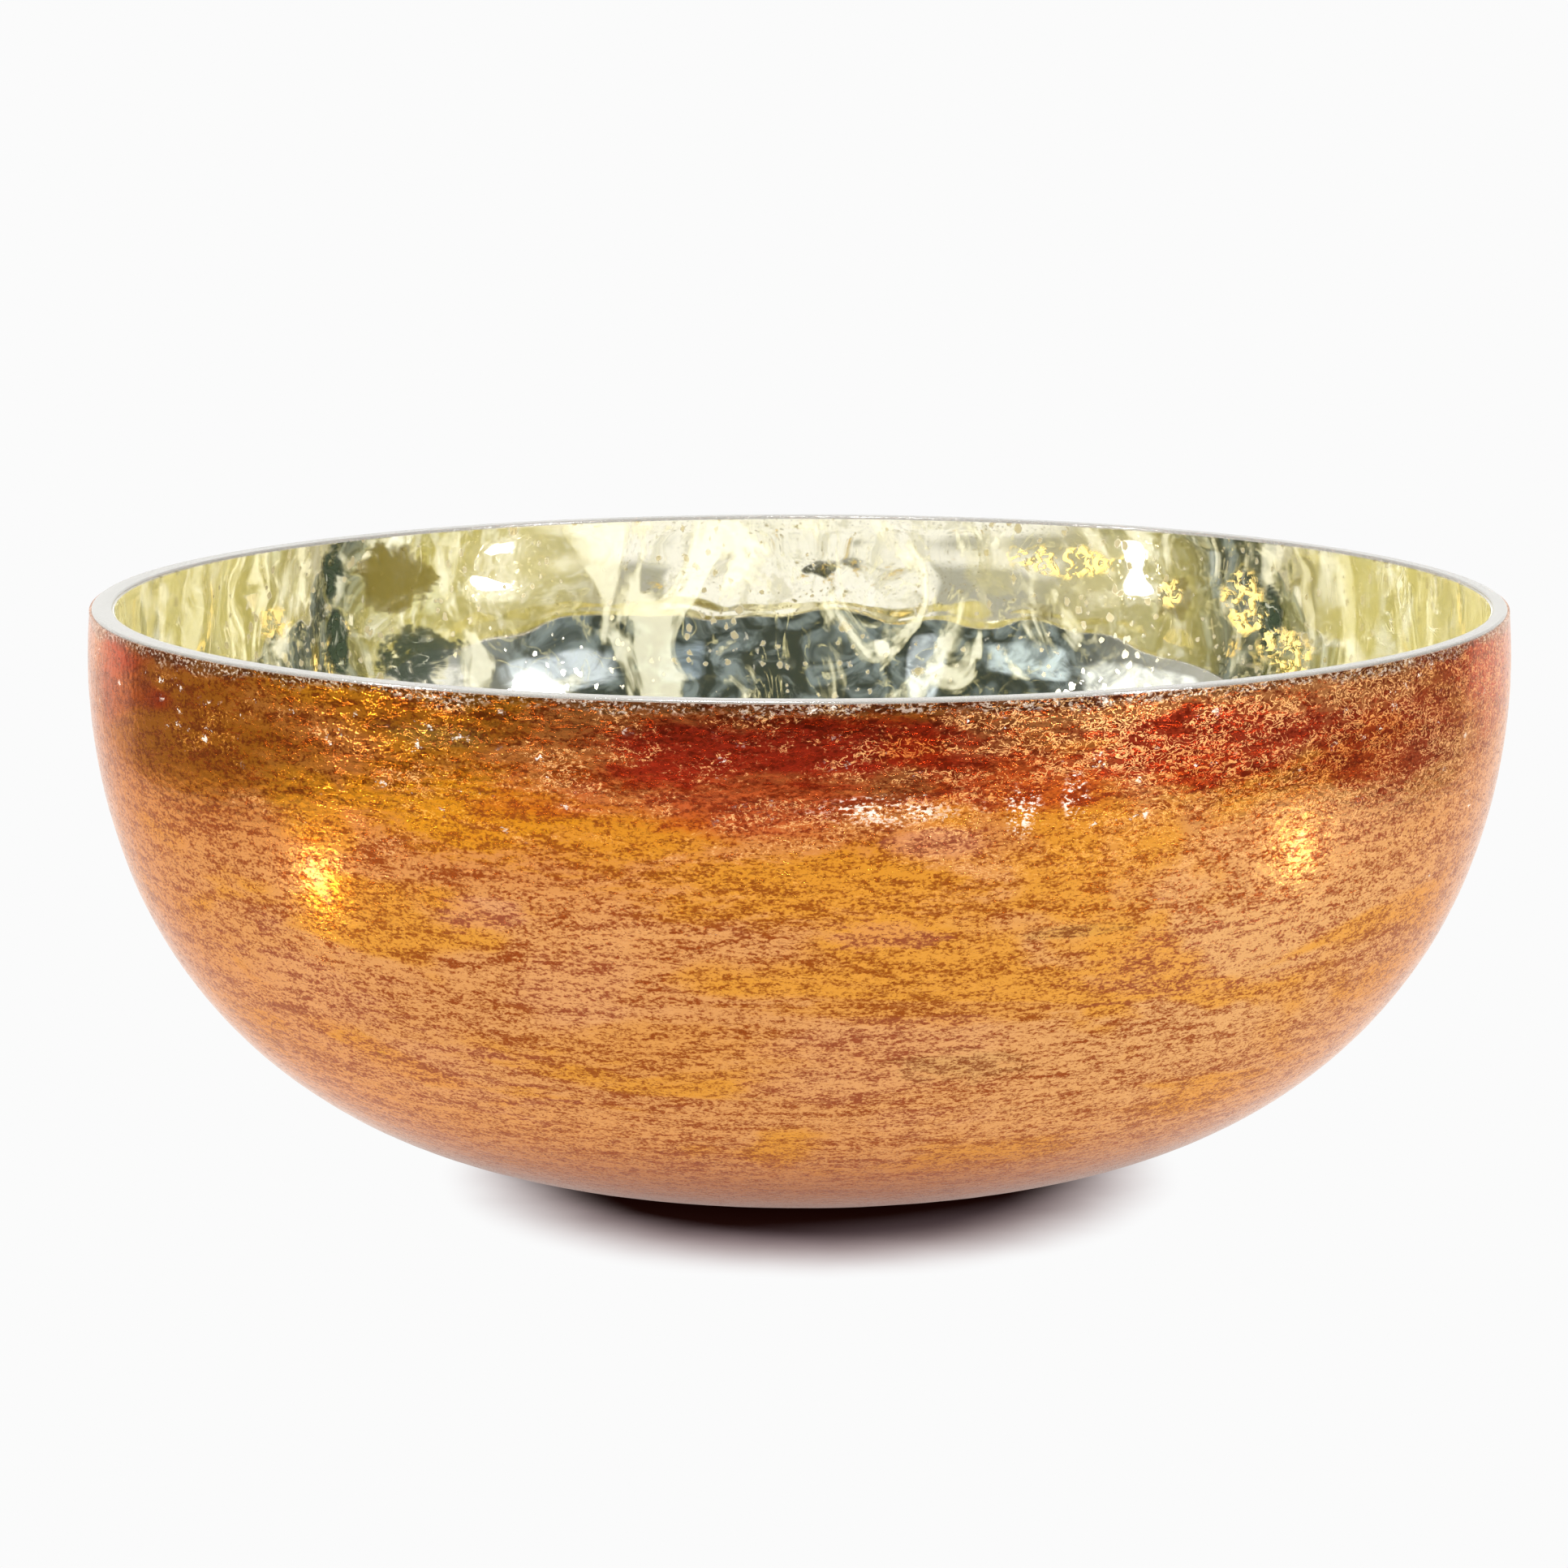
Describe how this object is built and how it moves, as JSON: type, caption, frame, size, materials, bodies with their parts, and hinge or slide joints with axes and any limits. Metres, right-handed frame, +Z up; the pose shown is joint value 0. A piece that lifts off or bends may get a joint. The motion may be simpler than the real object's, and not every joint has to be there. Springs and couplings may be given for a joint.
{
  "type": "silvered glass bowl",
  "caption": "Round silvered glass bowl with a copper lustre outside, a mirror lining with an amber tint, a bare clear rim and a flat ground foot.",
  "frame": {"origin": "centre of the ground foot, on the surface that the bowl stands on", "axes": "+Z up along the bowl's axis, from the foot to the rim; X and Y level, and alike because the bowl is turned"},
  "size_m": [0.254, 0.254, 0.1],
  "materials": {
    "clear_glass": "polished",
    "copper_lustre": "satin",
    "silver_film": "polished",
    "amber_lacquer": "gloss"
  },
  "bodies": {
    "root": {"glass_bowl": "clear_glass", "copper_lustre": "copper_lustre", "silver_film": "silver_film", "amber_lacquer": "amber_lacquer"}
  },
  "joints": []
}
